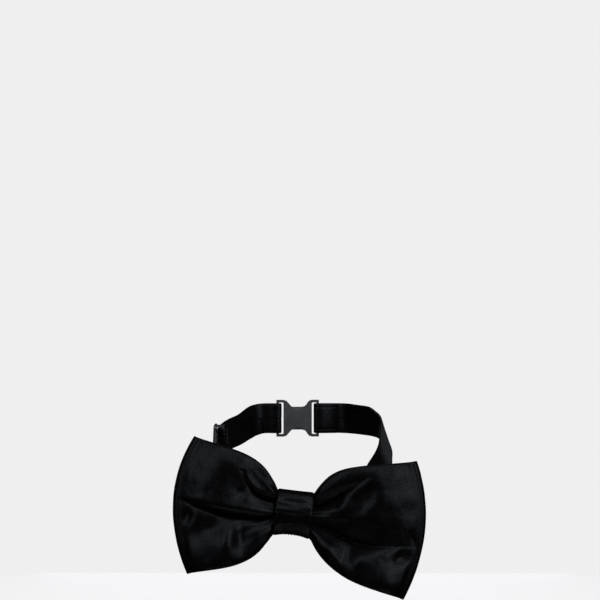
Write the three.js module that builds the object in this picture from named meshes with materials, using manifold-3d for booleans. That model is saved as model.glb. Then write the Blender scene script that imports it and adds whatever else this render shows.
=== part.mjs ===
// A pre-tied satin bow tie as it is worn: a bow of one pinched loop with a wrapped knot, on an
// adjustable neck strap that closes at the back of the neck with a hook and an eye.
// Millimetres. +X is the wearer's left as seen from the front, -Y is the front, +Z is up.
// The origin is on the axis of the neck, level with the middle of the knot.
import * as THREE from 'three';
import { mergeVertices } from 'three/addons/utils/BufferGeometryUtils.js';
import Module from 'manifold-3d';

const wasm = await Module();
wasm.setup();

// ---- driving dimensions ----
const GAP = 0.3; // what touching pieces keep between them
const RUNNING = 0.4; // clearance of pieces that slide or turn on each other

const BAND = { width: 16, thick: 1.2 }; // neck strap
const FRONT = { y: -41.2, left: -24.5, right: 20.5 }; // the straight stretch behind the bow
const KNOT = { x: -7.25, width: 18.7, height: 24, thick: 0.9, corner: 3 };
const TILT = THREE.MathUtils.degToRad(6.5); // the bow hangs a little lower on the right
const KEEPER = { width: 12, thick: 0.7 };
const TACK = { radius: 1.6, thick: 0.5, clear: 0.2 };
const THREAD = { thick: 0.5, turns: 5, pitch: 1.6, slack: 0.3, corner: 1.6 }; // whipping round the waist
const STITCH = 0.4; // sewing thread
const SEAM = { height: 15, width: 1.6, strokes: 12, aside: 5 }; // up the back of the knot
const BARTACK = { short: 2, width: 1.6, strokes: 10 }; // across the strap, short of its edges
const PAD = { thick: 1, inset: 1.1, short: 2.5 }; // within the knot's width and height, on each side

const WAIST = { thick: 7, past: 0.55 }; // the pinched middle of the loop, and how far it runs past the knot
const LOOP = { ply: 0.7, depth: 11, forward: 0.75, rise: 3 };
const LINING = { ply: 0.6, inset: 1.5 };
const WINGS = {
  left: { sign: -1, reach: 60.6, skew: 2.1, bulge: 8.9, top: 32.6, bottom: 35.3 },
  right: { sign: 1, reach: 66.3, skew: -0.55, bulge: 7.35, top: 32.8, bottom: 36 },
};
const FLARE = { top: 2.4, bottom: 2.1 }; // how soon the wings reach their full height

const PLATE = 1; // thickness of the hook's and the eye's sheet metal
const ARM = 1.4; // metal beside the strap
const BAR = 1.2; // the bars that the strap folds round
const SLIDER = { length: 11, bar: 1.6, middle: 0.9, thick: 0.8 };
const SLOT_ROOM = 0.9; // from the strap's fold to the far side of its slot
const HOOK = { length: 13, nose: 4.5 };
const TONGUE = { at: 11.2, width: 7, thick: 2, high: 2.9 };
const EYE = { web: 5.3, rim: 1.6, play: 0.8, slack: 3.2, beside: 1 }; // the window's room round the tongue
const CLOSURE = { hookX: -16, y: 41.5, z: 44.5 };
const TAIL = 9.5; // sewn-down ends of the strap

// ---- sizes that follow ----
const HALF = BAND.thick / 2;
const FOLD = Math.hypot(BAR / 2, PLATE / 2) + GAP + HALF; // from a bar's axis to the middle of its fold
const SLOT_END = FOLD + HALF + SLOT_ROOM; // from a bar's axis to the far side of its slot
const EYE_WEB = SLOT_END + EYE.web;
const EYE_X = CLOSURE.hookX + TONGUE.at + TONGUE.thick / 2 + EYE.play + EYE_WEB;
const EYE_Y = CLOSURE.y + PLATE + RUNNING;
const KEEPER_FACE = HALF + GAP + KEEPER.thick;
const KNOT_BACK = KEEPER_FACE + TACK.thick + 2 * TACK.clear;
const WHIPPING = GAP + THREAD.slack + THREAD.thick / 2; // from the waist to the middle of the thread
const WAIST_BACK = KNOT_BACK + KNOT.thick + GAP + THREAD.thick / 2 + WHIPPING;
const WAIST_FRONT = WAIST_BACK + WAIST.thick;
const WAIST_HALF = KNOT.height / 2 - KNOT.thick - GAP - THREAD.thick / 2 - WHIPPING;
const WAIST_REACH = KNOT.width / 2 + WAIST.past;
const PAD_BACK = WAIST_FRONT + WHIPPING + THREAD.thick / 2 + GAP;
const KNOT_FRONT = PAD_BACK + PAD.thick + GAP + KNOT.thick;
const SLIDER_FRAME = HALF + GAP + PLATE / 2; // how far the slider's frame stands outside the strap
const LOOP_TURN = HALF + GAP + SLIDER.thick / 2; // from the slider's middle bar to the ply round it
const SLIDER_MIDDLE = -(HALF + GAP + HALF + LOOP_TURN);

const satin = { color: 0x0b0c10, roughness: 0.42, metalness: 0 };
const canvas = { color: 0x2a2a2e, roughness: 0.95, metalness: 0 };
const sewing = { color: 0x101014, roughness: 0.8, metalness: 0 };
const steel = { color: 0xb9bbbe, roughness: 0.3, metalness: 1 };

const tie = new THREE.Group();

function add(parent, name, geometry, finish) {
  const mesh = new THREE.Mesh(geometry, new THREE.MeshStandardMaterial(finish));
  mesh.name = name;
  parent.add(mesh);
  return mesh;
}

// ---- joining solids ----
function solid(geometry) {
  const bare = geometry.clone();
  bare.deleteAttribute('normal');
  bare.deleteAttribute('uv');
  const merged = mergeVertices(bare, 1e-4);
  return new wasm.Manifold(new wasm.Mesh({
    numProp: 3,
    vertProperties: new Float32Array(merged.attributes.position.array),
    triVerts: new Uint32Array(merged.index.array),
  }));
}

function join(first, ...others) {
  const whole = others.reduce((sum, next) => sum.add(solid(next)), solid(first)).getMesh();
  const geometry = new THREE.BufferGeometry();
  geometry.setAttribute('position', new THREE.BufferAttribute(whole.vertProperties, 3));
  geometry.setIndex(new THREE.BufferAttribute(whole.triVerts, 1));
  return geometry;
}

function box(sizes, centre) {
  return new THREE.BoxGeometry(...sizes).translate(...centre);
}

// ---- routes: a smooth line through stations, with the strap's lean along it ----
const vector = (list) => new THREE.Vector3(...list);
const HANDLE = 0.39; // Bezier handles as a share of the chord, which keeps quarter turns round

function route(stations) {
  const line = new THREE.CurvePath();
  for (let i = 1; i < stations.length; i += 1) {
    const [a, b] = [stations[i - 1], stations[i]];
    const [from, to] = [vector(a.at), vector(b.at)];
    const reach = HANDLE * from.distanceTo(to);
    const leave = from.clone().addScaledVector(vector(a.along).normalize(), reach);
    const arrive = to.clone().addScaledVector(vector(b.along).normalize(), -reach);
    const piece = new THREE.CubicBezierCurve3(from, leave, arrive, to);
    piece.arcLengthDivisions = 800;
    line.add(piece);
  }
  const marks = [0, ...line.getCurveLengths()];
  const length = line.getLength();
  const frame = (s) => {
    const inside = THREE.MathUtils.clamp(s, 0, length);
    let i = 1;
    while (i < marks.length - 1 && inside > marks[i]) i += 1;
    const share = (inside - marks[i - 1]) / (marks[i] - marks[i - 1]);
    const smooth = THREE.MathUtils.smoothstep(share, 0, 1);
    const lean = vector(stations[i - 1].lean).lerp(vector(stations[i].lean), smooth);
    const along = line.getTangent(inside / length);
    const up = lean.addScaledVector(along, -lean.dot(along)).normalize();
    const out = new THREE.Vector3().crossVectors(along, up);
    return { point: line.getPoint(inside / length), along, up, out };
  };
  return { frame, marks, length };
}

// A point off a route: so far outwards from its middle.
function beside(frame, out) {
  return frame.point.clone().addScaledVector(frame.out, out).toArray();
}

// A flat strap along a route, from one distance to another.
function strap(path, from, to, steps) {
  const geometry = new THREE.BoxGeometry(BAND.width, BAND.thick, 1, 1, 1, steps);
  const places = geometry.attributes.position;
  const at = new THREE.Vector3();
  for (let i = 0; i < places.count; i += 1) {
    at.fromBufferAttribute(places, i);
    const frame = path.frame(THREE.MathUtils.lerp(from, to, at.z + 0.5));
    const point = frame.point.addScaledVector(frame.up, at.x).addScaledVector(frame.out, at.y);
    places.setXYZ(i, ...point.toArray());
  }
  return geometry;
}

// Puts a piece that was built flat (x along, y up, z out) where a frame is.
function seat(mesh, frame, out = 0) {
  const turn = new THREE.Matrix4().makeBasis(frame.along, frame.up, frame.out);
  mesh.quaternion.setFromRotationMatrix(turn);
  mesh.position.set(...beside(frame, out));
  return mesh;
}

// A thread that zigzags up a seam: x across, y up.
function zigzag(height, width, strokes) {
  const points = [];
  for (let i = 0; i <= strokes; i += 1) {
    const side = i % 2 ? 0.5 : -0.5;
    points.push(new THREE.Vector3(side * width, (i / strokes - 0.5) * height, 0));
  }
  const path = new THREE.CatmullRomCurve3(points, false, 'centripetal');
  return new THREE.ExtrudeGeometry(disc(STITCH / 2, 6), {
    extrudePath: path,
    steps: strokes * 4,
    bevelEnabled: false,
  });
}

function bartack() {
  return zigzag(BAND.width - 2 * BARTACK.short, BARTACK.width, BARTACK.strokes);
}

function disc(radius, sides) {
  const corners = [];
  for (let i = 0; i < sides; i += 1) {
    const angle = (i / sides) * 2 * Math.PI;
    corners.push(new THREE.Vector2(radius * Math.cos(angle), radius * Math.sin(angle)));
  }
  return new THREE.Shape(corners);
}

function rounded(width, height, corner, Kind = THREE.Shape) {
  const [x, y] = [width / 2 - corner, height / 2 - corner];
  const outline = new Kind();
  outline.absarc(x, y, corner, 0, Math.PI / 2, false);
  outline.absarc(-x, y, corner, Math.PI / 2, Math.PI, false);
  outline.absarc(-x, -y, corner, Math.PI, 1.5 * Math.PI, false);
  outline.absarc(x, -y, corner, 1.5 * Math.PI, 2 * Math.PI, false);
  outline.closePath();
  return outline;
}

function window(x, width, height) {
  const hole = rounded(width, height, 0.6, THREE.Path);
  return new THREE.Path(hole.getPoints(3).map((p) => new THREE.Vector2(p.x + x, p.y)));
}

function plate(outline, thick = PLATE) {
  const sheet = new THREE.ExtrudeGeometry(outline, { depth: thick, bevelEnabled: false, curveSegments: 5 });
  return sheet.translate(0, 0, -thick / 2);
}

// A band wrapped round in the plane of depth and height, as wide as width along the bow.
// back and front are distances outwards from the middle of the strap.
function wrapped(back, front, height, thick, corner, width) {
  const depth = front - back;
  const outline = rounded(depth, height, corner);
  outline.holes.push(rounded(depth - 2 * thick, height - 2 * thick, corner - thick, THREE.Path));
  const ring = new THREE.ExtrudeGeometry(outline, { depth: width, bevelEnabled: false, curveSegments: 5 });
  ring.translate((back + front) / 2, 0, -width / 2);
  return ring.applyMatrix4(new THREE.Matrix4().makeBasis(
    new THREE.Vector3(0, -1, 0),
    new THREE.Vector3(0, 0, 1),
    new THREE.Vector3(-1, 0, 0),
  ));
}

// ---- the neck strap ----
const up = [0, 0, 1];
const slideway = [-0.06, -0.995, -0.08]; // the straight stretch that the slider runs on, towards the front
const SLIDEWAY = { at: [-46.8, -3, 33.2], back: 13, front: 9 };
const sliderLean = [0.04, -0.1, 1];

function onSlideway(distance) {
  const place = vector(SLIDEWAY.at).addScaledVector(vector(slideway).normalize(), distance);
  return { at: place.toArray(), along: slideway, lean: sliderLean };
}

const closureZ = CLOSURE.z;
const stations = [
  { at: [CLOSURE.hookX, CLOSURE.y + FOLD, closureZ], along: [-1, 0, 0], lean: up },
  { at: [CLOSURE.hookX - 6, CLOSURE.y + FOLD, closureZ], along: [-1, 0, 0], lean: up },
  { at: [-38.8, 27, 38.2], along: [-0.6, -0.78, -0.22], lean: [0.08, -0.08, 1] },
  onSlideway(-SLIDEWAY.back),
  onSlideway(SLIDEWAY.front),
  { at: [-42, -26.8, 25.4], along: [0.38, -0.63, -0.67], lean: up },
  { at: [FRONT.left, FRONT.y, 0], along: [1, 0, 0], lean: up },
  { at: [FRONT.right, FRONT.y, 0], along: [1, 0, 0], lean: up },
  { at: [35.7, -30.5, 19.5], along: [0.42, 0.66, 0.62], lean: [-0.35, 0, 1] },
  { at: [40.4, -5, 33.8], along: [0.04, 0.9, 0.43], lean: [-0.4, 0, 1] },
  { at: [37.5, 18, 41.2], along: [-0.35, 0.9, 0.25], lean: [-0.25, -0.1, 1] },
  { at: [29.5, 32.5, 43.8], along: [-0.72, 0.69, 0.06], lean: [-0.1, -0.1, 1] },
  { at: [EYE_X + TAIL, EYE_Y + FOLD, closureZ], along: [-1, 0, 0], lean: up },
  { at: [EYE_X, EYE_Y + FOLD, closureZ], along: [-1, 0, 0], lean: up },
];
const [AT_HOOK, AT_SLIDE_BACK, SIDE_BEND, END_BEND] = [0, 3, 9, 11];

const mainLine = route(stations);
const sideBend = mainLine.marks[SIDE_BEND];
add(tie, 'strap_main', strap(mainLine, GAP / 2, sideBend - GAP / 2, 110), satin);

const endBend = mainLine.marks[END_BEND];
add(tie, 'strap_right_side', strap(mainLine, sideBend + GAP / 2, endBend - GAP / 2, 22), satin);

// The strap's right end folds round the eye's bar and its tail is sewn down behind it.
const tailEnd = [EYE_X + TAIL, EYE_Y + FOLD - BAND.thick - GAP, closureZ];
const rightEnd = route([
  ...stations.slice(END_BEND),
  { at: [EYE_X - FOLD, EYE_Y, closureZ], along: [0, -1, 0], lean: up },
  { at: [EYE_X, EYE_Y - FOLD, closureZ], along: [1, 0, 0], lean: up },
  { at: tailEnd, along: [1, 0, 0], lean: up },
]);
add(tie, 'strap_right_end', strap(rightEnd, GAP / 2, rightEnd.length, 44), satin);

const tackFrame = rightEnd.frame(rightEnd.marks[1] + BARTACK.width);
const eyeTack = add(tie, 'eye_bartack', bartack(), sewing);
seat(eyeTack, tackFrame, HALF + GAP + STITCH / 2);

// Inside the strap, its free end comes back from the hook and folds round the slider's middle bar.
const slideBack = mainLine.marks[AT_SLIDE_BACK];
const sliderMark = slideBack + SLIDEWAY.back;
const sliderFrame = mainLine.frame(sliderMark);
const innerPly = -(BAND.thick + GAP);
const RETURN_SLACK = 0.9; // how much further the ply stands off at the hook than at the slider

function inside(s, out) {
  const frame = mainLine.frame(s);
  return { at: beside(frame, out), along: frame.along.toArray(), lean: frame.up.toArray() };
}

// Stations close together, so that the ply keeps to the strap's own curve.
function beneath(from, to, count) {
  const places = [];
  for (let i = 0; i < count; i += 1) {
    const share = i / (count - 1);
    const slack = RETURN_SLACK * (1 - share);
    places.push(inside(THREE.MathUtils.lerp(from, to, share), innerPly - slack));
  }
  return places;
}

function turnedAt(ahead, out, along) {
  const place = vector(beside(sliderFrame, out)).addScaledVector(sliderFrame.along, ahead);
  return { at: place.toArray(), along: along.toArray(), lean: sliderFrame.up.toArray() };
}

const inwards = sliderFrame.out.clone().negate();
const backwards = sliderFrame.along.clone().negate();
const returnLine = route([
  { at: [CLOSURE.hookX, CLOSURE.y + FOLD, closureZ], along: [1, 0, 0], lean: up },
  { at: [CLOSURE.hookX + FOLD, CLOSURE.y, closureZ], along: [0, -1, 0], lean: up },
  { at: [CLOSURE.hookX, CLOSURE.y - FOLD, closureZ], along: [-1, 0, 0], lean: up },
  ...beneath(mainLine.marks[1] + 2, slideBack, 9),
  inside(sliderMark, innerPly),
  turnedAt(LOOP_TURN, SLIDER_MIDDLE, inwards),
  turnedAt(0, SLIDER_MIDDLE - LOOP_TURN, backwards),
  turnedAt(-TAIL, SLIDER_MIDDLE - LOOP_TURN, backwards),
]);
const returned = strap(returnLine, GAP / 2, returnLine.length, 84);
add(tie, 'strap_return', returned, satin);

const sliderTack = add(tie, 'slider_bartack', bartack(), sewing);
seat(sliderTack, sliderFrame, SLIDER_MIDDLE - LOOP_TURN - HALF - GAP - STITCH / 2);
sliderTack.position.addScaledVector(sliderFrame.along, -TAIL / 2);

// ---- metal: the slider, the hook and the eye ----
const metalHalf = BAND.width / 2 + RUNNING + ARM;

function slider() {
  const opening = SLIDER.length - 2 * SLIDER.bar;
  const outline = rounded(SLIDER.length, 2 * metalHalf, 1.2);
  outline.holes.push(window(0, opening, 2 * (metalHalf - ARM)));
  const frame = plate(outline).translate(0, 0, SLIDER_FRAME);
  const low = SLIDER_MIDDLE - SLIDER.thick / 2;
  const post = SLIDER_FRAME - low;
  const side = metalHalf - ARM / 2;
  return join(
    frame,
    box([SLIDER.middle, 2 * metalHalf, SLIDER.thick], [0, 0, SLIDER_MIDDLE]),
    box([SLIDER.middle, ARM, post], [0, side, low + post / 2]),
    box([SLIDER.middle, ARM, post], [0, -side, low + post / 2]),
  );
}

function hook() {
  const outline = new THREE.Shape();
  outline.moveTo(BAR / 2, -metalHalf);
  outline.lineTo(BAR / 2, metalHalf);
  outline.lineTo(-SLOT_END, metalHalf);
  outline.bezierCurveTo(-SLOT_END - 3.5, metalHalf, -SLOT_END - 2.5, HOOK.nose, -HOOK.length, HOOK.nose);
  outline.lineTo(-HOOK.length, -HOOK.nose);
  outline.bezierCurveTo(-SLOT_END - 2.5, -HOOK.nose, -SLOT_END - 3.5, -metalHalf, -SLOT_END, -metalHalf);
  outline.closePath();
  const opening = SLOT_END - BAR / 2;
  outline.holes.push(window(-(BAR / 2 + opening / 2), opening, 2 * (metalHalf - ARM)));
  const rise = PLATE / 2 + TONGUE.high;
  return join(
    plate(outline),
    box([TONGUE.thick, TONGUE.width, rise], [-TONGUE.at, 0, rise / 2]),
  );
}

function eye() {
  const opening = SLOT_END - BAR / 2;
  const long = EYE.play + TONGUE.thick + EYE.slack;
  const high = TONGUE.width + 2 * EYE.beside;
  const far = EYE_WEB + long;
  const narrow = high / 2 + EYE.rim;
  const outline = new THREE.Shape();
  outline.moveTo(-BAR / 2, metalHalf);
  outline.lineTo(-BAR / 2, -metalHalf);
  outline.lineTo(SLOT_END, -metalHalf);
  outline.bezierCurveTo(SLOT_END + 3, -metalHalf, SLOT_END + 2, -narrow, EYE_WEB, -narrow);
  outline.lineTo(far + EYE.rim, -narrow);
  outline.lineTo(far + EYE.rim, narrow);
  outline.lineTo(EYE_WEB, narrow);
  outline.bezierCurveTo(SLOT_END + 2, narrow, SLOT_END + 3, metalHalf, SLOT_END, metalHalf);
  outline.closePath();
  outline.holes.push(window(BAR / 2 + opening / 2, opening, 2 * (metalHalf - ARM)));
  outline.holes.push(window(EYE_WEB + long / 2, long, high));
  return plate(outline);
}

const hookFrame = mainLine.frame(mainLine.marks[AT_HOOK]);
const eyeFrame = mainLine.frame(mainLine.length);
seat(add(tie, 'slider', slider(), steel), sliderFrame);
seat(add(tie, 'hook', hook(), steel), hookFrame, -FOLD);
seat(add(tie, 'eye', eye(), steel), eyeFrame, -FOLD);

// ---- the keeper behind the knot, which runs on the strap ----
const carrier = new THREE.Group();
carrier.position.set(KNOT.x, FRONT.y, 0);
tie.add(carrier);
const keeperHeight = BAND.width + 2 * (RUNNING + KEEPER.thick);
const keeperRing = wrapped(-KEEPER_FACE, KEEPER_FACE, keeperHeight, KEEPER.thick, 0.9, KEEPER.width);
add(carrier, 'strap_keeper', keeperRing, satin);

const tack = new THREE.CylinderGeometry(TACK.radius, TACK.radius, TACK.thick, 16);
tack.translate(0, -(KEEPER_FACE + TACK.clear + TACK.thick / 2), 0);
add(carrier, 'keeper_tack', tack, sewing);

// ---- the bow, tilted on its tack ----
const bow = new THREE.Group();
bow.rotation.y = TILT;
carrier.add(bow);

const knotRing = wrapped(KNOT_BACK, KNOT_FRONT, KNOT.height, KNOT.thick, KNOT.corner, KNOT.width);
add(bow, 'knot_wrap', knotRing, satin);

const padOutline = rounded(KNOT.width - 2 * PAD.inset, KNOT.height - 2 * PAD.short, 2);
const padSheet = plate(padOutline, PAD.thick).rotateX(Math.PI / 2);
padSheet.translate(0, -(PAD_BACK + PAD.thick / 2), 0);
add(bow, 'knot_pad', padSheet, canvas);

const knotSeam = zigzag(SEAM.height, SEAM.width, SEAM.strokes).rotateX(Math.PI / 2);
knotSeam.translate(SEAM.aside, -(KNOT_BACK - TACK.clear - STITCH / 2), 0);
add(bow, 'knot_seam', knotSeam, sewing);

// Whipping: a thread wound round the waist, under the knot.
function whipping() {
  const depth = WAIST.thick + 2 * WHIPPING;
  const height = 2 * (WAIST_HALF + WHIPPING);
  const turn = rounded(depth, height, THREAD.corner);
  const points = [];
  const each = 36;
  for (let i = 0; i <= THREAD.turns * each; i += 1) {
    const p = turn.getPoint((i / each) % 1);
    const along = (i / each - THREAD.turns / 2) * THREAD.pitch;
    points.push(new THREE.Vector3(along, -((WAIST_BACK + WAIST_FRONT) / 2 + p.x), p.y));
  }
  const path = new THREE.CatmullRomCurve3(points, false, 'centripetal');
  const steps = THREAD.turns * each;
  const section = disc(THREAD.thick / 2, 6);
  return new THREE.ExtrudeGeometry(section, { extrudePath: path, steps, bevelEnabled: false });
}
add(bow, 'waist_thread', whipping(), sewing);

// The loop: a band that runs along the front of both wings, turns at their ends and comes back.
const AROUND = 80; // facets round the loop
const CAP = { from: 0.35, to: 0.65 }; // the share of each side that its rounded end takes

function reachAt(wing, high) {
  return wing.reach + wing.skew * high - wing.bulge * high * high;
}

// A place on the loop's middle surface: share round the loop, high from -1 to 1.
function onLoop(share, high) {
  const wing = share < 0.5 ? WINGS.right : WINGS.left;
  const b = share < 0.5 ? 2 * share : 2 - 2 * share;
  const capDepth = LOOP.depth / 2;
  const straight = reachAt(wing, high) - capDepth;
  const frontWaist = WAIST_FRONT - LOOP.ply / 2;
  const backWaist = WAIST_BACK + LOOP.ply / 2;
  const backEnd = backWaist + LOOP.forward;
  const past = (x) => THREE.MathUtils.clamp((x - WAIST_REACH) / (straight - WAIST_REACH), 0, 1);
  const swell = (x) => 1 - (1 - past(x)) ** LOOP.rise;
  if (b < CAP.from || b > CAP.to) {
    const front = b < CAP.from;
    const x = ((front ? b : 1 - b) / CAP.from) * straight;
    const waist = front ? frontWaist : backWaist;
    const end = front ? backEnd + LOOP.depth : backEnd;
    return { x: wing.sign * x, out: waist + (end - waist) * swell(x) };
  }
  const angle = ((b - CAP.from) / (CAP.to - CAP.from)) * Math.PI;
  const middle = backEnd + capDepth;
  return { x: wing.sign * (straight + capDepth * Math.sin(angle)), out: middle + capDepth * Math.cos(angle) };
}

function heightAt(x, high, inset) {
  const wing = x < 0 ? WINGS.left : WINGS.right;
  const [full, power] = high > 0 ? [wing.top, FLARE.top] : [wing.bottom, FLARE.bottom];
  const end = reachAt(wing, Math.sign(high));
  const t = THREE.MathUtils.clamp((Math.abs(x) - WAIST_REACH) / (end - WAIST_REACH), 0, 1);
  return high * (WAIST_HALF + (full - WAIST_HALF) * (1 - (1 - t) ** power) - inset);
}

// One ply of the loop, so far inwards from its middle surface.
function loop(ply, inwardsBy, inset) {
  const rows = 7;
  const geometry = new THREE.TorusGeometry(1, 0.3, 2 * rows, AROUND);
  const step = 1e-4;
  const { position, uv } = geometry.attributes;
  for (let i = 0; i < position.count; i += 1) {
    const share = (Math.round(uv.getX(i) * AROUND) % AROUND) / AROUND;
    const row = Math.round(uv.getY(i) * 2 * rows) % (2 * rows);
    const outer = row < rows;
    const high = outer ? -1 + (2 * row) / (rows - 1) : 1 - (2 * (row - rows)) / (rows - 1);
    const here = onLoop(share, high);
    const before = onLoop((share + 1 - step) % 1, high);
    const after = onLoop((share + step) % 1, high);
    const [dx, dOut] = [after.x - before.x, after.out - before.out];
    const off = ((outer ? ply : -ply) / 2 - inwardsBy) / Math.hypot(dx, dOut);
    const z = heightAt(here.x, high, inset);
    position.setXYZ(i, here.x - dOut * off, -(here.out + dx * off), z);
  }
  return geometry;
}

add(bow, 'bow_loop_cover', loop(LOOP.ply, 0, 0), satin);
const liningDepth = LOOP.ply / 2 + GAP + LINING.ply / 2;
add(bow, 'bow_loop_interlining', loop(LINING.ply, liningDepth, LINING.inset), canvas);

export default tie;
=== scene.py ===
import math

import bmesh
import bpy
from mathutils import Matrix, Vector, noise


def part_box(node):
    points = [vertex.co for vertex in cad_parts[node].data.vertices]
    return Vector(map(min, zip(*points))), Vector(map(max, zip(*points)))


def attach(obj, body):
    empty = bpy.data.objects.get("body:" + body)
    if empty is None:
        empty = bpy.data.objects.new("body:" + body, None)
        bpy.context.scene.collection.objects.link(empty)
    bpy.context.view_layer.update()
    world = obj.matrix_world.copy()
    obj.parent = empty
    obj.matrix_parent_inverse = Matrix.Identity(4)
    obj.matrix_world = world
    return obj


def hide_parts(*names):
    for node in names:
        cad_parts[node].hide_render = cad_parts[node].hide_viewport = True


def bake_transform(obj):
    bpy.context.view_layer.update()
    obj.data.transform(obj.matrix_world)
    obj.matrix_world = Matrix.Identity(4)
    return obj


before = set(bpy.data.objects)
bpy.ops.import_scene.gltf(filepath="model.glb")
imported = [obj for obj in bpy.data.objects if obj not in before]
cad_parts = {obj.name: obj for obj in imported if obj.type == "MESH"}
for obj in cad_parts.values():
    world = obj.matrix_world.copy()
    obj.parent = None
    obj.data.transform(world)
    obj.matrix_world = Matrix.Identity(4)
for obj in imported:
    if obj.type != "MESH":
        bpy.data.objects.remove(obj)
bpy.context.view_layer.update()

# A pre-tied satin bow tie, as worn: the bow is one band of satin pinched into a loop and held by a
# wrapped knot, on an adjustable neck strap. Lengths here are millimetres and are turned to metres
# when a mesh is made. "Out" is the distance forwards from the middle of the strap behind the bow.

MM = 0.001

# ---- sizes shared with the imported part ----
GAP = 0.3
BAND = {"width": 16, "thick": 1.2}
FRONT = {"y": -41.2, "left": -24.5, "right": 20.5}
KNOT = {"x": -7.25, "width": 18.7, "height": 24, "thick": 0.9, "back": 2.5, "front": 15.4}
TILT = math.radians(6.5)
KEEPER = {"width": 12, "thick": 0.7, "room": 0.3, "side_room": 0.4}
WAIST = {"back": 4.8, "front": 11.8, "half": 9.7, "reach": 9.9, "spread": 8.6}
LOOP = {"ply": 0.7, "depth": 11, "forward": 0.75, "rise": 3}
LINING = {"ply": 0.5, "inset": 1.5, "inside": 0.95}
WINGS = {
    "left": {
        "sign": -1, "reach": 60.6, "skew": 2.1, "bulge": 8.9, "fall": 5.6, "fall_run": 23,
        "top": {"full": 32.6, "straight": 0.35, "spring": 5.5},
        "bottom": {"full": 35.3, "straight": 0.45, "spring": 6.0}},
    "right": {
        "sign": 1, "reach": 66.3, "skew": -0.55, "bulge": 7.35, "fall": 6.0, "fall_run": 27,
        "top": {"full": 32.8, "straight": 0.40, "spring": 7.5},
        "bottom": {"full": 36.0, "straight": 0.42, "spring": 4.8}},
}
CAP = {"from": 0.35, "to": 0.65}
POINT = {"height": 0.5, "run": 3.0}
FOLD = math.hypot(0.6, 0.5) + GAP + BAND["thick"] / 2
EYE_X = 5.481
EYE_Y = 42.9
CLOSURE = {"hook_x": -16, "y": 41.5, "z": 44.5}
TAIL = 9.5


# ---- shader maths ----
class Wire:
    """One output of a shader node, so that shader maths reads as ordinary sums."""

    def __init__(self, finish, socket):
        self.finish = finish
        self.socket = socket

    def maths(self, operation, *values):
        return self.finish.node("ShaderNodeMath", {"operation": operation}, dict(enumerate(values)))

    def __add__(self, other):
        return self.maths("ADD", self, other)

    def __radd__(self, other):
        return self.maths("ADD", other, self)

    def __sub__(self, other):
        return self.maths("SUBTRACT", self, other)

    def __rsub__(self, other):
        return self.maths("SUBTRACT", other, self)

    def __mul__(self, other):
        return self.maths("MULTIPLY", self, other)

    def __rmul__(self, other):
        return self.maths("MULTIPLY", other, self)


class Finish:
    """A material, with one method that adds any node to it."""

    def __init__(self, name):
        self.material = bpy.data.materials.new(name)
        self.material.use_nodes = True
        self.tree = self.material.node_tree
        self.shader = self.tree.nodes["Principled BSDF"]

    def node(self, kind, settings=None, sockets=None, output=0):
        made = self.tree.nodes.new(kind)
        for key, value in (settings or {}).items():
            if key == "stops":
                self.set_stops(made.color_ramp, value)
            else:
                setattr(made, key, value)
        for key, value in (sockets or {}).items():
            self.plug(made.inputs[key], value)
        return Wire(self, made.outputs[output])

    def set_stops(self, ramp, stops):
        for i, (place, colour) in enumerate(stops):
            stop = ramp.elements[i] if i < 2 else ramp.elements.new(place)
            stop.position = place
            stop.color = colour

    def plug(self, socket, value):
        if isinstance(value, Wire):
            self.tree.links.new(value.socket, socket)
        else:
            socket.default_value = value

    def surface(self, **sockets):
        for key, value in sockets.items():
            self.plug(self.shader.inputs[key.replace("_", " ")], value)
        return self.material

    def mix(self, share, first, second):
        sockets = {0: share, 6: first, 7: second}
        return self.node("ShaderNodeMix", {"data_type": "RGBA"}, sockets, output=2)


def satin(name, dark, light, roughness, grain):
    """Black satin: long floats across the weave, a slight mottle and a broad soft gloss."""
    finish = Finish(name)
    chart = finish.node("ShaderNodeUVMap", {"uv_map": "weave"})
    floats = finish.node("ShaderNodeMapping", {}, {"Vector": chart, "Scale": (1.2, 6.0, 1.0)})
    slub = finish.node(
        "ShaderNodeTexNoise", {}, {"Vector": floats, "Scale": 1.0, "Detail": 4.0, "Roughness": 0.6})
    mottle = finish.node(
        "ShaderNodeTexNoise", {}, {"Vector": chart, "Scale": 1.5, "Detail": 3.0, "Roughness": 0.7})
    clouds = finish.node(
        "ShaderNodeTexNoise", {}, {"Vector": chart, "Scale": 0.09, "Detail": 2.0, "Roughness": 0.5})
    threads = finish.node(
        "ShaderNodeTexWave",
        {"wave_type": "BANDS", "bands_direction": "Y", "wave_profile": "SIN"},
        {"Vector": chart, "Scale": 1.4, "Distortion": 1.5, "Detail": 2.0, "Detail Scale": 2.0},
        output=1,
    )
    tone = mottle * 0.6 + slub * 0.4
    colour = finish.mix(tone, dark, light)
    gloss = roughness + (mottle - 0.5) * 1.2 + (slub - 0.5) * 0.4 + (clouds - 0.5) * 0.1
    height = threads * 0.25 + slub * 0.5 + mottle * 0.9
    bump = finish.node(
        "ShaderNodeBump", {}, {"Strength": grain, "Distance": 0.0002, "Height": height})
    return finish.surface(
        Base_Color=colour, Roughness=gloss, Normal=bump, Specular_IOR_Level=0.5)


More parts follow.
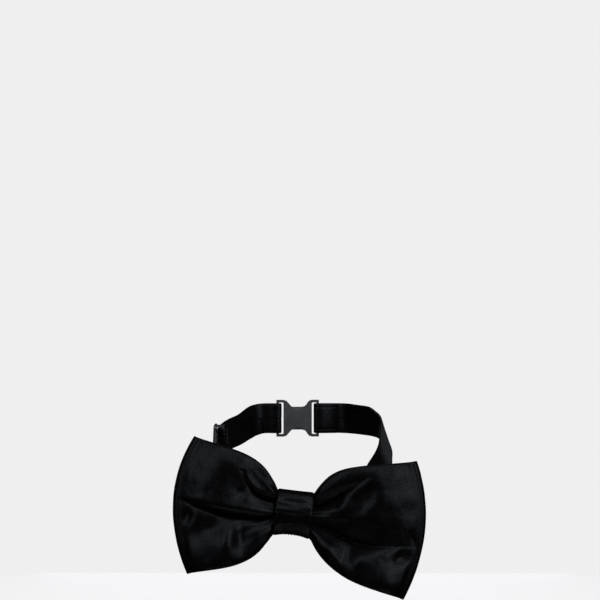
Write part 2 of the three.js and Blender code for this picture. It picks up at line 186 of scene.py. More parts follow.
def canvas(name):
    """Plain-woven interlining."""
    finish = Finish(name)
    chart = finish.node("ShaderNodeTexCoord", output=3)
    warp = finish.node(
        "ShaderNodeTexWave", {"bands_direction": "X"},
        {"Vector": chart, "Scale": 480.0, "Distortion": 1.0, "Detail": 1.0}, output=1)
    weft = finish.node(
        "ShaderNodeTexWave", {"bands_direction": "Z"},
        {"Vector": chart, "Scale": 480.0, "Distortion": 1.0, "Detail": 1.0}, output=1)
    weave = warp * weft
    colour = finish.mix(weave, (0.010, 0.010, 0.012, 1.0), (0.035, 0.035, 0.040, 1.0))
    bump = finish.node("ShaderNodeBump", {}, {"Strength": 0.6, "Distance": 0.0002, "Height": weave})
    return finish.surface(Base_Color=colour, Roughness=0.92, Normal=bump)


def thread_finish(name):
    """Twisted sewing thread."""
    finish = Finish(name)
    chart = finish.node("ShaderNodeTexCoord", output=3)
    twist = finish.node(
        "ShaderNodeTexWave", {"bands_direction": "DIAGONAL"},
        {"Vector": chart, "Scale": 900.0, "Distortion": 2.0, "Detail": 1.0}, output=1)
    colour = finish.mix(twist, (0.006, 0.006, 0.008, 1.0), (0.022, 0.022, 0.026, 1.0))
    bump = finish.node("ShaderNodeBump", {}, {"Strength": 0.5, "Distance": 0.0001, "Height": twist})
    return finish.surface(Base_Color=colour, Roughness=0.6, Normal=bump)


def nickel(name):
    """Bright plated steel with the fine rub marks of a fitting that slides on cloth."""
    finish = Finish(name)
    chart = finish.node("ShaderNodeTexCoord", output=3)
    streaks = finish.node(
        "ShaderNodeMapping", {}, {"Vector": chart, "Scale": (3000.0, 3000.0, 300.0)})
    rub = finish.node("ShaderNodeTexNoise", {}, {"Vector": streaks, "Scale": 1.0, "Detail": 3.0})
    cloud = finish.node("ShaderNodeTexNoise", {}, {"Vector": chart, "Scale": 260.0, "Detail": 3.0})
    colour = finish.mix(cloud, (0.62, 0.62, 0.63, 1.0), (0.80, 0.80, 0.81, 1.0))
    gloss = 0.3 + rub * 0.14 + cloud * 0.1
    bump = finish.node("ShaderNodeBump", {}, {"Strength": 0.12, "Distance": 0.00005, "Height": rub})
    return finish.surface(Base_Color=colour, Roughness=gloss, Metallic=1.0, Normal=bump)


SATIN_DARK = (0.0016, 0.0018, 0.0024, 1.0)
SATIN_LIGHT = (0.0050, 0.0056, 0.0075, 1.0)
BOW_SATIN = satin("bow_satin", SATIN_DARK, SATIN_LIGHT, 0.34, 0.22)
STRAP_SATIN = satin("strap_satin", SATIN_DARK, SATIN_LIGHT, 0.37, 0.16)
CANVAS = canvas("interlining")
THREAD = thread_finish("sewing_thread")
NICKEL = nickel("plated_steel")


# ---- making pieces ----
def piece(name, shape, material, body, stands_for=()):
    """Turns a finished bmesh, in metres, into a smooth-shaded piece that rides on a body."""
    mesh = bpy.data.meshes.new(name)
    shape.to_mesh(mesh)
    shape.free()
    mesh.materials.append(material)
    made = bpy.data.objects.new(name, mesh)
    bpy.context.scene.collection.objects.link(made)
    for face in mesh.polygons:
        face.use_smooth = True
    if body:
        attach(made, body)
    if stands_for:
        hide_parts(*stands_for)
    return made


def cloth(columns, rows, size, place, join=False):
    """A grid of cloth, size long and wide, laid by place(along, across), each from 0 to 1."""
    shape = bmesh.new()
    bmesh.ops.create_grid(shape, x_segments=columns, y_segments=rows, size=0.5)
    chart = shape.loops.layers.uv.new("weave")
    for face in shape.faces:
        for corner in face.loops:
            spot = corner.vert.co
            corner[chart].uv = ((spot.x + 0.5) * size[0], (spot.y + 0.5) * size[1])
    for vert in shape.verts:
        vert.co = place(vert.co.x + 0.5, vert.co.y + 0.5) * MM
    if join:
        bmesh.ops.remove_doubles(shape, verts=shape.verts, dist=0.01 * MM)
    return shape


def thicken(made, thick, levels=0, even=True):
    """Gives cloth its thickness. Sharply folded cloth takes an uneven wall, which can't spike."""
    wall = made.modifiers.new("wall", "SOLIDIFY")
    wall.thickness = thick * MM
    wall.offset = 0
    wall.use_even_offset = even
    if levels:
        round_off = made.modifiers.new("round_off", "SUBSURF")
        round_off.levels = levels
        round_off.render_levels = levels


def blend_range(value, low, high):
    share = max(0.0, min(1.0, (value - low) / (high - low)))
    return share * share * (3 - 2 * share)


class Line:
    """A smooth height over a length, through a few chosen points, level beyond its ends."""

    def __init__(self, *points):
        self.points = points

    def __call__(self, x):
        points = self.points
        if x <= points[0][0]:
            return points[0][1]
        if x >= points[-1][0]:
            return points[-1][1]
        i = 1
        while x > points[i][0]:
            i += 1
        (x0, y0), (x1, y1) = points[i - 1], points[i]
        before = points[max(0, i - 2)]
        after = points[min(len(points) - 1, i + 1)]
        rise0 = (y1 - before[1]) / (x1 - before[0])
        rise1 = (after[1] - y0) / (after[0] - x0)
        span = x1 - x0
        t = (x - x0) / span
        t2, t3 = t * t, t * t * t
        return (
            (2 * t3 - 3 * t2 + 1) * y0
            + (t3 - 2 * t2 + t) * span * rise0
            + (3 * t2 - 2 * t3) * y1
            + (t3 - t2) * span * rise1
        )


class Crease:
    """A valley in the cloth. Above and below are how widely its two sides round over, lap is how
    far the upper lobe hangs over it (down is negative)."""

    LAP_REACH = 2.0
    LAP_DEPTH = 4
    LAP_STARTS = (10, 18)
    SHALLOWEST = 0.02

    def __init__(self, path, depth, above, below, lap=0.0, upright=False):
        self.path = Line(*path)
        self.depth = Line(*depth)
        self.above = above
        self.below = below
        self.lap = lap
        self.upright = upright

    def at(self, along, high):
        x, y = (high, along) if self.upright else (along, high)
        depth = self.depth(x)
        if abs(depth) < self.SHALLOWEST:
            return 0.0, 0.0
        slope = self.path(x + 0.5) - self.path(x - 0.5)
        off = (y - self.path(x)) / math.hypot(1, slope)
        width = (self.above if off > 0 else self.below) * (0.6 + 0.08 * depth)
        away = abs(off) / width
        sink = -depth * (0.7 * math.exp(-away * 1.9) + 0.3 * math.exp(-((away / 1.3) ** 2)))
        near = math.exp(-((off / self.LAP_REACH) ** 2)) * min(1.0, depth / self.LAP_DEPTH)
        return sink, self.lap * near * blend_range(x, *self.LAP_STARTS)


class Mound:
    """A raised or sunk oval of cloth; flat above 1 gives it a level top with steep sides."""

    def __init__(self, centre, size, turn, height, flat=1.0):
        self.centre = centre
        self.size = size
        self.turn = math.radians(turn)
        self.height = height
        self.flat = flat

    def at(self, along, high):
        across, up = along - self.centre[0], high - self.centre[1]
        cos, sin = math.cos(self.turn), math.sin(self.turn)
        p = (across * cos + up * sin) / self.size[0]
        q = (up * cos - across * sin) / self.size[1]
        return self.height * math.exp(-((p * p + q * q) ** self.flat)), 0.0


# How the cloth of each wing folds, in millimetres out from the knot and up from its middle.
FOLDS = {
    "left": [
        Crease(
            [(8, -2.0), (16.4, -2.6), (27.9, -2.7), (39.7, -1.6), (49.5, 0.6), (58, 1.6)],
            [(8, 3.5), (14, 6.0), (22, 7.4), (34, 7.4), (46, 5.4), (53, 2.8), (60, 0.3)],
            above=1.1, below=6.4, lap=-1.6),
        Crease(
            [(8, 5.4), (14.2, 7.2), (18.4, 9.0), (22.1, 11.1), (25, 14.3), (27.6, 19.5)],
            [(8, 3.5), (14, 5.4), (19, 4.8), (23, 2.8), (27, 1.0), (30, 0)],
            above=0.8, below=5.0, lap=-1.0),
        Mound((20.4, 16.0), (14.0, 9.0), 50, 1.0),
        Mound((20.4, 16.9), (8.0, 3.8), 50, -1.9, flat=1.3),
        Mound((27.0, 8.2), (3.6, 2.4), 120, -1.6),
        Mound((52.9, -6.5), (2.8, 3.8), 20, -1.6),
        Mound((31.5, -14.0), (4.0, 9.5), 0, 2.2),
        Mound((24.0, -14.5), (4.5, 6.0), 0, -2.2),
        Mound((40.0, 14.0), (9.0, 17.0), 30, 1.4, flat=1.3),
        Mound((36.0, 0.0), (18.0, 8.0), 0, 1.8),
        Mound((42.0, -31.0), (16.0, 11.0), 0, 3.4),
        Mound((41.0, -11.0), (7.0, 5.0), 0, -1.6),
        Crease(
            [(-27, 50.0), (-14.8, 54.4), (-4.1, 57.6)],
            [(-30, 0), (-24, 0.7), (-8, 0.7), (-1, 0)],
            above=3.0, below=3.0, upright=True),
    ],
    "right": [
        Crease(
            [(8, 4.3), (13.6, 6.4), (19.8, 9.3), (24.4, 13.3), (29.9, 18.0), (34.9, 22.6)],
            [(8, 3.5), (13, 6.4), (19, 6.6), (25, 4.4), (31, 1.8), (37, 0)],
            above=5.0, below=3.2, lap=0.9),
        Crease(
            [(8, -4.0), (14, -6.0), (19.3, -7.9), (24.5, -9.8), (30.4, -12.0), (39.9, -12.8),
             (48.3, -11.6), (57.2, -9.6)],
            [(8, 3.5), (15, 6.4), (26, 7.6), (38, 6.0), (48, 3.0), (57, 0.5)],
            above=9.0, below=2.3, lap=1.2),
        Mound((33.6, 12.0), (15.5, 10.5), 50, 2.2),
        Mound((33.6, 12.0), (10.5, 5.6), 52, -2.7, flat=1.3),
        Mound((20.5, -17.0), (9.5, 3.4), -43, 2.2),
        Mound((28.5, -17.9), (4.6, 5.2), 30, -2.2),
        Mound((35.0, -19.0), (4.6, 4.2), 0, 1.5),
        Mound((56.0, -15.5), (4.6, 3.2), 25, -1.8),
        Mound((49.0, -32.0), (18.0, 12.0), -15, 3.9),
        Crease(
            [(-35, 58.1), (-27.0, 59.2), (-21.7, 61.0), (-15.9, 62.8), (-11.2, 63.4), (-6.5, 61.9),
             (-2.8, 59.8)],
            [(-36, 0.8), (-22, 1.2), (-11, 1.4), (-6, 1.0), (-1, 0)],
            above=2.0, below=2.0, upright=True),
    ],
}


def reach_at(wing, high):
    return wing["reach"] + wing["skew"] * high - wing["bulge"] * high * high


def straight_end(wing, high):
    """How far from the knot the front of a wing runs before it turns round the wing's end."""
    return reach_at(wing, high) - (LOOP["depth"] - wing["fall"]) / 2


def half_height(wing, x, side):
    """Half the band's height at x from the knot, above (side 1) or below (side -1) its middle."""
    edge = wing["top"] if side > 0 else wing["bottom"]
    end = reach_at(wing, side)
    t = max(0.0, min(1.0, (x - WAIST["spread"]) / (end - WAIST["spread"])))
    point = POINT["height"] * math.exp(-max(0.0, end - x) / POINT["run"])
    flare = edge["straight"] * t + (1 - edge["straight"]) * (1 - (1 - t) ** edge["spring"])
    return WAIST["half"] + (edge["full"] - WAIST["half"]) * flare + point * t


def bare_loop(wing, b, high):
    """The unfolded loop: b runs from the middle of the front, round the wing's end, to the back.
    The front falls away towards the wing's end, where it turns round a small radius."""
    cap_depth = (LOOP["depth"] - wing["fall"]) / 2
    straight = straight_end(wing, high)
    front_waist = WAIST["front"] - LOOP["ply"] / 2
    back_waist = WAIST["back"] + LOOP["ply"] / 2
    back_end = back_waist + LOOP["forward"]
    if b < CAP["from"] or b > CAP["to"]:
        front = b < CAP["from"]
        x = (b if front else 1 - b) / CAP["from"] * straight
        past = max(0.0, min(1.0, (x - WAIST["reach"]) / (straight - WAIST["reach"])))
        swell = 1 - (1 - past) ** LOOP["rise"]
        waist = front_waist if front else back_waist
        end = back_end + LOOP["depth"] if front else back_end
        fallen = max(0.0, 1 - (straight - x) / wing["fall_run"]) if front else 0
        return x, waist + (end - waist) * swell - wing["fall"] * fallen ** 2
    angle = (b - CAP["from"]) / (CAP["to"] - CAP["from"]) * math.pi
    middle = back_end + cap_depth
    return straight + cap_depth * math.sin(angle), middle + cap_depth * math.cos(angle)


def gathers(side, along, high, around):
    """Fine tucks that fan out from the knot, and the slight unevenness of any soft cloth."""
    angle = math.atan2(high, along)
    fan = noise.noise(Vector((angle * 9, along * 0.03, side * 3.7))) * math.exp(-(along - 9) / 16)
    soft = noise.noise(Vector((along * 0.11, high * 0.11, side * 5.1 + around)))
    fine = noise.noise(Vector((along * 0.35, high * 0.35, side * 2.3 + around)))
    return fan * 0.9 + soft * 0.6 + fine * 0.1


def fold_front(name, along, high, edge):
    """Rise and sideways shift of the front of a wing. Edge is the distance from the band's edge."""
    side = WINGS[name]["sign"]
    rise = 2.2 * math.exp(-(((along - 9) / 14) ** 2))
    shift = 0.0
    for fold in FOLDS[name]:
        up, over = fold.at(along, high)
        rise += up
        shift += over
    turned = 1.1 + 3.0 * math.exp(-((along - 9) / 14))
    rise -= turned * math.exp(-edge / 4.0)
    rise += gathers(side, along, high, 0)
    return rise, shift


def fold_back(name, along, high, edge):
    """The back of a wing is drawn into three shallow pleats at the knot."""
    side = WINGS[name]["sign"]
    near = math.exp(-(along - 9) / 18)
    pleats = 0.9 * math.cos(high / WAIST["half"] * 2 * math.pi) * near
    return pleats * 0.9 - 0.5 * math.exp(-edge / 2) + 0.6 * gathers(side, along, high, 8), 0.0


def loop_point(name, b, high, depth=0.0, inset=0.0):
    """A place on the folded loop of a wing, sunk by depth from its middle surface."""
    wing = WINGS[name]
    step = 1e-4
    x, out = bare_loop(wing, b, high)
    x0, out0 = bare_loop(wing, max(0.0, b - step), high)
    x1, out1 = bare_loop(wing, min(1.0, b + step), high)
    run = Vector((x1 - x0, out1 - out0)).normalized()
    facing = Vector((-run.y, run.x))
    half = half_height(wing, x, 1 if high > 0 else -1)
    up = high * (half - inset)
    edge = half * (1 - abs(high))
    outside = fold_front(name, x, up, edge)
    inside = fold_back(name, x, up, edge)
    turn = blend_range(b, 0.33, 0.46)
    rise = outside[0] * (1 - turn) + inside[0] * turn
    shift = outside[1] * (1 - turn)
    rim = straight_end(wing, high)
    show = blend_range(x, 6.2, 9.4) * (1 - 0.8 * blend_range(x, rim - 4, rim))
    rise *= show
    shift *= show
    x += facing.x * (rise - depth)
    out += facing.y * (rise - depth)
    return Vector((wing["sign"] * x, -out, up + shift))


# Columns of the loop's grid, closer together on the front where the folds are sharp.
COLUMNS = {"front": 124, "cap": 20, "back": 44}


def share_to_loop(along):
    """Turns a share of the grid's columns into a wing and the share round that wing's loop."""
    total = sum(COLUMNS.values())
    place = along * 2 * total
    name = "right" if place <= total else "left"
    column = place if place <= total else 2 * total - place
    if column <= COLUMNS["front"]:
        return name, column / COLUMNS["front"] * CAP["from"]
    column -= COLUMNS["front"]
    if column <= COLUMNS["cap"]:
        return name, CAP["from"] + column / COLUMNS["cap"] * (CAP["to"] - CAP["from"])
    column -= COLUMNS["cap"]
    return name, CAP["to"] + column / COLUMNS["back"] * (1 - CAP["to"])


TILTED = Matrix.Translation((KNOT["x"], FRONT["y"], 0)) @ Matrix.Rotation(TILT, 4, "Y")
LOOP_FLAT = (262, 69)
LOOP_ROWS = 104
LINING_ROWS = 26


def bow_loop():
    def place(along, across):
        name, b = share_to_loop(along)
        return TILTED @ loop_point(name, b, 2 * across - 1)

    shape = cloth(2 * sum(COLUMNS.values()), LOOP_ROWS, LOOP_FLAT, place, join=True)
    made = piece("bow_loop", shape, BOW_SATIN, "bow", ["bow_loop_cover"])
    thicken(made, LOOP["ply"], even=False)


def bow_lining():
    def place(along, across):
        name, b = share_to_loop(along)
        return TILTED @ loop_point(name, b, 2 * across - 1, LINING["inside"], LINING["inset"])

    shape = cloth(sum(COLUMNS.values()), LINING_ROWS, LOOP_FLAT, place, join=True)
    made = piece("bow_lining", shape, CANVAS, "bow", ["bow_loop_interlining"])
    thicken(made, LINING["ply"], even=False)


# ---- the knot ----
KNOT_CHART_LENGTH = 68
KNOT_ROUND = {"front": 1.6, "back": 4.5}
KNOT_DIP = {"top": 0.01, "bottom": 0.13}


def knot_section(turn, grow=0.0):
    """The knot seen from its end: flat at the back, rounded in front. Turn 0 is the seam, behind."""
    angle = math.pi + turn * 2 * math.pi
    cos, sin = math.cos(angle), math.sin(angle)
    power = 2 / KNOT_ROUND["front" if cos > 0 else "back"]
    depth = (KNOT["front"] - KNOT["back"]) / 2 + grow
    height = KNOT["height"] / 2 + grow
    out = (KNOT["front"] + KNOT["back"]) / 2 + depth * math.copysign(abs(cos) ** power, cos)
    return out, height * math.copysign(abs(sin) ** power, sin)


def knot_wrap():
    half = KNOT["width"] / 2

    def place(along, across):
        side = 2 * across - 1
        rolled = 0.7 * max(0.0, (abs(side) - 0.9) / 0.1) ** 2
        out, up = knot_section(along, -KNOT["thick"] / 2 - rolled)
        front = blend_range(out, 8, 14)
        pull = noise.noise(Vector((side * 0.8, up * 0.62, 2.0))) * 0.26
        soft = noise.noise(Vector((side * 1.7, up * 0.22, 7.0))) * 0.28
        out += (pull + soft) * front
        up *= 1 - KNOT_DIP["bottom" if up < 0 else "top"] * (1 - side * side)
        x = half * side * (1 - 0.012 * abs(up) / 12)
        return TILTED @ Vector((x, -out, up))

    shape = cloth(96, 30, (KNOT_CHART_LENGTH, KNOT["width"]), place, join=True)
    bmesh.ops.recalc_face_normals(shape, faces=shape.faces)
    made = piece("knot_cover", shape, BOW_SATIN, "bow", ["knot_wrap"])
    thicken(made, KNOT["thick"] - 0.1, levels=1)


# ---- the neck strap's route ----
HANDLE = 0.39
UP = (0, 0, 1)
SLIDEWAY = {"at": (-46.8, -3, 33.2), "along": (-0.06, -0.995, -0.08), "lean": (0.04, -0.1, 1)}
SLIDE_BACK = -13
SLIDE_FRONT = 9
SIDE_CUT = 16
SIDE_BLEND = 8
END_BLEND = 11
SLIDER_BLEND = {"back": 34, "front": 7}
RETURN_SLACK = 0.9
SLIDER_THICK = 0.8


class Route:
    """A smooth line through stations of place, direction and lean, as the strap lies."""

    SAMPLES = 160

    def __init__(self, stations):
        self.stations = [[Vector(value) for value in station] for station in stations]
        self.tables = []
        self.marks = [0.0]
        for (start, leave, _), (end, arrive, _) in zip(self.stations, self.stations[1:]):
            reach = HANDLE * (end - start).length
            hull = (
                start, start + leave.normalized() * reach, end - arrive.normalized() * reach, end)
            table = [0.0]
            before = start
            for i in range(1, self.SAMPLES + 1):
                point = self.bezier(hull, i / self.SAMPLES)
                table.append(table[-1] + (point - before).length)
                before = point
            self.tables.append((hull, table))
            self.marks.append(self.marks[-1] + table[-1])
        self.length = self.marks[-1]

    @staticmethod
    def bezier(hull, t):
        u = 1 - t
        a, b, c, d = hull
        return a * u ** 3 + b * 3 * u * u * t + c * 3 * u * t * t + d * t ** 3

    @staticmethod
    def heading(hull, t):
        u = 1 - t
        a, b, c, d = hull
        return ((b - a) * u * u + (c - b) * 2 * u * t + (d - c) * t * t).normalized()

    def frame(self, distance):
        """Middle point, direction, width direction and outward direction at a distance along."""
        distance = max(0.0, min(self.length, distance))
        i = 0
        while i < len(self.tables) - 1 and distance > self.marks[i + 1]:
            i += 1
        hull, table = self.tables[i]
        rest = distance - self.marks[i]
        step = 1
        while step < self.SAMPLES and table[step] < rest:
            step += 1
        part = (rest - table[step - 1]) / (table[step] - table[step - 1])
        t = (step - 1 + part) / self.SAMPLES
        share = blend_range(rest, 0, table[-1])
        lean = self.stations[i][2].lerp(self.stations[i + 1][2], share)
        along = self.heading(hull, t)
        up = (lean - along * lean.dot(along)).normalized()
        return self.bezier(hull, t), along, up, along.cross(up)


def on_slideway(distance):
    place = Vector(SLIDEWAY["at"]) + Vector(SLIDEWAY["along"]).normalized() * distance
    return (place, SLIDEWAY["along"], SLIDEWAY["lean"])


STATIONS = [
    ((CLOSURE["hook_x"], CLOSURE["y"] + FOLD, CLOSURE["z"]), (-1, 0, 0), UP),
    ((CLOSURE["hook_x"] - 6, CLOSURE["y"] + FOLD, CLOSURE["z"]), (-1, 0, 0), UP),
    ((-38.8, 27, 38.2), (-0.6, -0.78, -0.22), (0.08, -0.08, 1)),
    on_slideway(SLIDE_BACK),
    on_slideway(SLIDE_FRONT),
    ((-42, -26.8, 25.4), (0.38, -0.63, -0.67), UP),
    ((FRONT["left"], FRONT["y"], 0), (1, 0, 0), UP),
    ((FRONT["right"], FRONT["y"], 0), (1, 0, 0), UP),
    ((35.7, -30.5, 19.5), (0.42, 0.66, 0.62), (-0.35, 0, 1)),
    ((40.4, -5, 33.8), (0.04, 0.9, 0.43), (-0.4, 0, 1)),
    ((37.5, 18, 41.2), (-0.35, 0.9, 0.25), (-0.25, -0.1, 1)),
    ((29.5, 32.5, 43.8), (-0.72, 0.69, 0.06), (-0.1, -0.1, 1)),
    ((EYE_X + TAIL, EYE_Y + FOLD, CLOSURE["z"]), (-1, 0, 0), UP),
    ((EYE_X, EYE_Y + FOLD, CLOSURE["z"]), (-1, 0, 0), UP),
]
SLIDEWAY_START = 3
SIDE_BEND = 9
MID_SIDE = 10
END_BEND = 11
MAIN = Route(STATIONS)


def right_end_route():
    low = EYE_Y + FOLD - BAND["thick"] - GAP
    return Route([
        *STATIONS[MID_SIDE:],
        ((EYE_X - FOLD, EYE_Y, CLOSURE["z"]), (0, -1, 0), UP),
        ((EYE_X, EYE_Y - FOLD, CLOSURE["z"]), (1, 0, 0), UP),
        ((EYE_X + TAIL, low, CLOSURE["z"]), (1, 0, 0), UP),
    ])


def return_route():
    """The strap's free end: round the hook's bar, back inside the strap, round the slider's bar."""
    ply = -(BAND["thick"] + GAP)
    slide_back = MAIN.marks[SLIDEWAY_START]
    slider_mark = slide_back - SLIDE_BACK
    middle, ahead, up, out = MAIN.frame(slider_mark)
    turn = BAND["thick"] / 2 + GAP + SLIDER_THICK / 2
    bar = -(BAND["thick"] / 2 + GAP + BAND["thick"] / 2 + turn)

    def inside(distance, off):
        point, along, lean, outward = MAIN.frame(distance)
        return (point + outward * off, along, lean)

    def turned(forwards, off, along):
        return (middle + out * off + ahead * forwards, along, up)

    beneath = []
    first = MAIN.marks[1] + 2
    for i in range(9):
        share = i / 8
        slack = RETURN_SLACK * (1 - share)
        beneath.append(inside(first + (slide_back - first) * share, ply - slack))
    hook_x, y, z = CLOSURE["hook_x"], CLOSURE["y"], CLOSURE["z"]
    return Route([
        ((hook_x, y + FOLD, z), (1, 0, 0), UP),
        ((hook_x + FOLD, y, z), (0, -1, 0), UP),
        ((hook_x, y - FOLD, z), (-1, 0, 0), UP),
        *beneath,
        inside(slider_mark, ply),
        turned(turn, bar, -out),
        turned(0, bar - turn, -ahead),
        turned(-TAIL, bar - turn, -ahead),
    ])


# ---- the strap itself ----
def strap_section():
    """A closed section across the strap, as (across, out): a pressed tube of satin with soft edges,
    a sewn line inside each edge on its face, and the tube's lapped seam along its back."""
    half, thick = BAND["width"] / 2, BAND["thick"] / 2
    face = [
        (-half + 0.05, 0.12), (-half + 0.3, 0.42), (-half + 0.8, 0.56), (-half + 1.5, 0.585),
        (-half + 1.9, 0.57), (-half + 2.1, 0.45), (-half + 2.3, 0.57), (-half + 3.2, 0.6), (-2, 0.6),
        (0, 0.6), (2, 0.6), (half - 3.2, 0.6), (half - 2.3, 0.57), (half - 2.1, 0.45),
        (half - 1.9, 0.57), (half - 1.5, 0.585), (half - 0.8, 0.56), (half - 0.3, 0.42),
        (half - 0.05, 0.12),
    ]
    back = [
        (half - 0.05, -0.12), (half - 0.3, -0.42), (half - 0.8, -0.56), (half - 2, -0.59), (3.2, -0.59),
        (0.9, -0.58), (0.6, -0.6), (0.35, -0.5), (0, -0.5), (-2.5, -0.52), (-half + 2, -0.57),
        (-half + 0.8, -0.54), (-half + 0.3, -0.42), (-half + 0.05, -0.12),
    ]
    return [(across, out * thick / 0.6) for across, out in face + back]


SECTION = strap_section()


def strap_length(name, route, start, end, body, stands_for, step=1.1):
    """A length of strap along a route, closed at both ends."""
    columns = max(4, round((end - start) / step))
    around = len(SECTION)

    def place(along, across):
        distance = start + (end - start) * along
        point, _, up, out = route.frame(distance)
        width, off = SECTION[round(across * around) % around]
        ripple = 0.05 * noise.noise(point * 0.12) * (1 - abs(width) / 8)
        return point + up * width + out * (off + ripple)

    perimeter = 2 * (BAND["width"] + BAND["thick"])
    shape = cloth(columns, around, (end - start, perimeter), place, join=True)
    ends = [edge for edge in shape.edges if edge.is_boundary]
    bmesh.ops.holes_fill(shape, edges=ends, sides=0)
    for edge in ends:
        edge.smooth = False
    bmesh.ops.recalc_face_normals(shape, faces=shape.faces)
    made = piece(name, shape, STRAP_SATIN, body, stands_for)
    held = "folded" if "end" in name or "return" in name else "stretched"
    size = (BAND["width"] * MM, (end - start) * MM)
    return made, size, held


def neck_strap():
    side = MAIN.marks[SIDE_BEND]
    cut = side - SIDE_CUT
    made, size, held = strap_length("strap_front", MAIN, 0, cut, "neck_strap", ["strap_main"])

    made, size, held = strap_length(
        "strap_side", MAIN, cut, MAIN.marks[MID_SIDE], None, ["strap_right_side"])
    start = MAIN.frame(side - SIDE_BLEND)[0] * MM
    end = MAIN.frame(side + SIDE_BLEND)[0] * MM
    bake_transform(made)

    route = right_end_route()
    made, size, held = strap_length(
        "strap_end_piece", route, 0, route.length, None, ["strap_right_end"], 0.9)
    bend_mark = route.marks[END_BEND - MID_SIDE]
    start = route.frame(bend_mark - END_BLEND)[0] * MM
    end = route.frame(bend_mark + END_BLEND)[0] * MM
    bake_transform(made)

    route = return_route()
    made, size, held = strap_length(
        "strap_return_ply", route, 0, route.length, None, ["strap_return"], 0.8)
    slider = MAIN.marks[SLIDEWAY_START] - SLIDE_BACK
    start = MAIN.frame(slider - SLIDER_BLEND["back"])[0] * MM
    end = MAIN.frame(slider - SLIDER_BLEND["front"])[0] * MM
    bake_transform(made)


def keeper_ring():
    face = BAND["thick"] / 2 + KEEPER["room"] + KEEPER["thick"] / 2
    tall = BAND["width"] / 2 + KEEPER["side_room"] + KEEPER["thick"] / 2

    def place(along, across):
        angle = along * 2 * math.pi
        cos, sin = math.cos(angle), math.sin(angle)
        out = face * math.copysign(abs(cos) ** 0.3, cos)
        up = tall * math.copysign(abs(sin) ** 0.45, sin)
        side = 2 * across - 1
        waist = 1 + 0.05 * side * side
        x = KNOT["x"] + side * KEEPER["width"] / 2 * (1 - 0.02 * abs(up) / tall)
        ripple = 0.06 * noise.noise(Vector((side * 2, up * 0.5, out)))
        return Vector((x, FRONT["y"] - (out + ripple) * waist, up))

    shape = cloth(88, 12, (40, KEEPER["width"]), place, join=True)
    bmesh.ops.recalc_face_normals(shape, faces=shape.faces)
    made = piece("keeper_loop", shape, STRAP_SATIN, "keeper", ["strap_keeper"])
    thicken(made, KEEPER["thick"] - 0.15, levels=1)


# ---- fittings and threads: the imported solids, merged, with their edges eased ----
def merged_copy(node):
    shape = bmesh.new()
    shape.from_mesh(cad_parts[node].data)
    bmesh.ops.remove_doubles(shape, verts=shape.verts, dist=0.001 * MM)
    return shape


def eased_fitting(node, name, body, ease):
    """A pressed metal fitting: flat faces with every sharp edge rounded over."""
    shape = merged_copy(node)
    bmesh.ops.dissolve_limit(
        shape, angle_limit=math.radians(2), verts=shape.verts, edges=shape.edges)
    sharp = [edge for edge in shape.edges if edge.calc_face_angle(0) > math.radians(35)]
    bmesh.ops.bevel(
        shape, geom=sharp, offset=ease * MM, offset_type="OFFSET", segments=3, profile=0.5,
        affect="EDGES", clamp_overlap=True, material=-1)
    bmesh.ops.triangulate(shape, faces=[face for face in shape.faces if len(face.verts) > 4])
    made = piece(name, shape, NICKEL, body, [node])
    flat = made.modifiers.new("flat_faces", "WEIGHTED_NORMAL")
    flat.keep_sharp = True
    return made


def thread_copy(node, name, body):
    shape = merged_copy(node)
    made = piece(name, shape, THREAD, body, [node])
    round_off = made.modifiers.new("round_off", "SUBSURF")
    round_off.levels = 1
    round_off.render_levels = 1
    return made


def fittings():
    eased_fitting("slider", "slider_buckle", "strap_slider", 0.16)
    eased_fitting("hook", "closure_hook", "back_hook", 0.2)
    eased_fitting("eye", "closure_eye", "back_eye", 0.2)
    thread_copy("waist_thread", "waist_whipping", "bow")
    thread_copy("knot_seam", "knot_seam_stitches", "bow")
    thread_copy("keeper_tack", "keeper_tack_stitches", "keeper")
    thread_copy("eye_bartack", "eye_end_stitches", "strap_end")
    thread_copy("slider_bartack", "slider_end_stitches", "strap_slider")


def knot_padding():
    """A small wad under the front of the knot, crowned towards its middle."""
    low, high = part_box("knot_pad")
    half_x, half_z = (high.x - low.x) / 2 / MM - 1.2, (high.z - low.z) / 2 / MM - 2.0
    centre_out = WAIST["front"] + 1.6

    shape = bmesh.new()
    bmesh.ops.create_uvsphere(shape, u_segments=32, v_segments=18, radius=1)
    for vert in shape.verts:
        x, y, z = vert.co
        x = math.copysign(abs(x) ** 0.6, x) * half_x
        z = math.copysign(abs(z) ** 0.6, z) * half_z
        vert.co = TILTED @ Vector((x, -(centre_out - y * 0.45), z)) * MM
    made = piece("knot_wad", shape, CANVAS, "bow", ["knot_pad"])


# ---- the studio ----
VIEW_FROM = (-0.004, -1.557, 0.1075)
LIT_POINT = (-0.005, -0.05, 0.0)
SOFTBOXES = {
    "key_left": ((-0.76, -0.86, 0.46), (0.6, 0.8), 0.74),
    "key_right": ((0.82, -0.84, 0.4), (0.75, 0.9), 1.45),
    "top": ((0.0, -0.8, 0.9), (0.8, 0.6), 0.85),
    "low": ((0.0, -0.5, -1.0), (1.0, 0.4), 0.3),
    "behind": ((0.0, 1.3, 0.0), (0.5, 0.4), 0.5),
    "behind_left": ((-0.6, 1.0, 0.25), (0.3, 0.6), 0.26),
    "behind_right": ((0.7, 1.0, 0.25), (0.6, 0.8), 0.16),
}


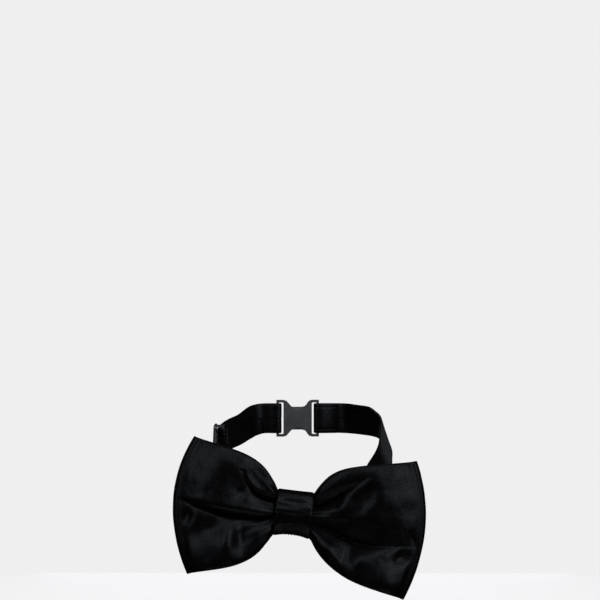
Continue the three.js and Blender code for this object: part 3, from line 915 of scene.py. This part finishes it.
def camera_and_light():
    scene = bpy.context.scene
    scene.view_settings.view_transform = "Standard"
    data = bpy.data.cameras.new("camera")
    data.sensor_width = 36
    data.lens = 180
    data.clip_start = 0.05
    data.clip_end = 50
    camera = bpy.data.objects.new("camera", data)
    scene.collection.objects.link(camera)
    camera.location = VIEW_FROM
    camera.rotation_euler = (math.radians(90), 0, 0)
    scene.camera = camera

    world = bpy.data.worlds.new("studio")
    scene.world = world
    world.use_nodes = True
    nodes = world.node_tree.nodes
    glow = nodes["Background"]
    glow.inputs["Color"].default_value = (0.9, 0.93, 1.0, 1.0)
    glow.inputs["Strength"].default_value = 0.012
    seen = nodes.new("ShaderNodeBackground")
    seen.inputs["Color"].default_value = (0.93, 0.93, 0.94, 1.0)
    path = nodes.new("ShaderNodeLightPath")
    choice = nodes.new("ShaderNodeMixShader")
    links = world.node_tree.links
    links.new(path.outputs["Is Camera Ray"], choice.inputs[0])
    links.new(glow.outputs[0], choice.inputs[1])
    links.new(seen.outputs[0], choice.inputs[2])
    links.new(choice.outputs[0], nodes["World Output"].inputs["Surface"])

    for name, (place, size, power) in SOFTBOXES.items():
        light = bpy.data.lights.new(name, "AREA")
        light.shape = "RECTANGLE"
        light.size, light.size_y = size
        light.energy = power
        light.color = (0.9, 0.94, 1.0)
        lamp = bpy.data.objects.new(name, light)
        scene.collection.objects.link(lamp)
        lamp.visible_camera = False
        lamp.location = place
        aim = Vector(LIT_POINT) - Vector(place)
        lamp.rotation_euler = aim.to_track_quat("-Z", "Y").to_euler()


def stage():
    """A pale paper sweep that rises behind. It glows evenly, and puts no light on the satin."""
    shape = bmesh.new()
    bmesh.ops.create_grid(shape, x_segments=1, y_segments=40, size=1)
    reach, front, back, bend, floor = 3.0, 0.6, 2.2, 1.0, -0.16
    for vert in shape.verts:
        share = (vert.co.y + 1) / 2
        run = share * 6
        flat = back - bend + front
        if run < flat:
            y, z = run - front, 0
        elif run < flat + bend * math.pi / 2:
            angle = (run - flat) / bend
            y, z = back - bend + bend * math.sin(angle), bend * (1 - math.cos(angle))
        else:
            y, z = back, bend + run - flat - bend * math.pi / 2
        vert.co = (vert.co.x * reach, y, z + floor)
    mesh = bpy.data.meshes.new("studio_floor")
    shape.to_mesh(mesh)
    shape.free()
    paper = Finish("pale_paper")
    paper.surface(
        Base_Color=(0.1, 0.1, 0.1, 1.0), Roughness=0.9, Emission_Color=(0.86, 0.86, 0.87, 1.0),
        Emission_Strength=1.0)
    mesh.materials.append(paper.material)
    made = bpy.data.objects.new("studio_floor", mesh)
    bpy.context.scene.collection.objects.link(made)
    made.visible_glossy = False
    made.visible_diffuse = False


camera_and_light()
stage()
bow_loop()
bow_lining()
knot_wrap()
knot_padding()
neck_strap()
keeper_ring()
fittings()
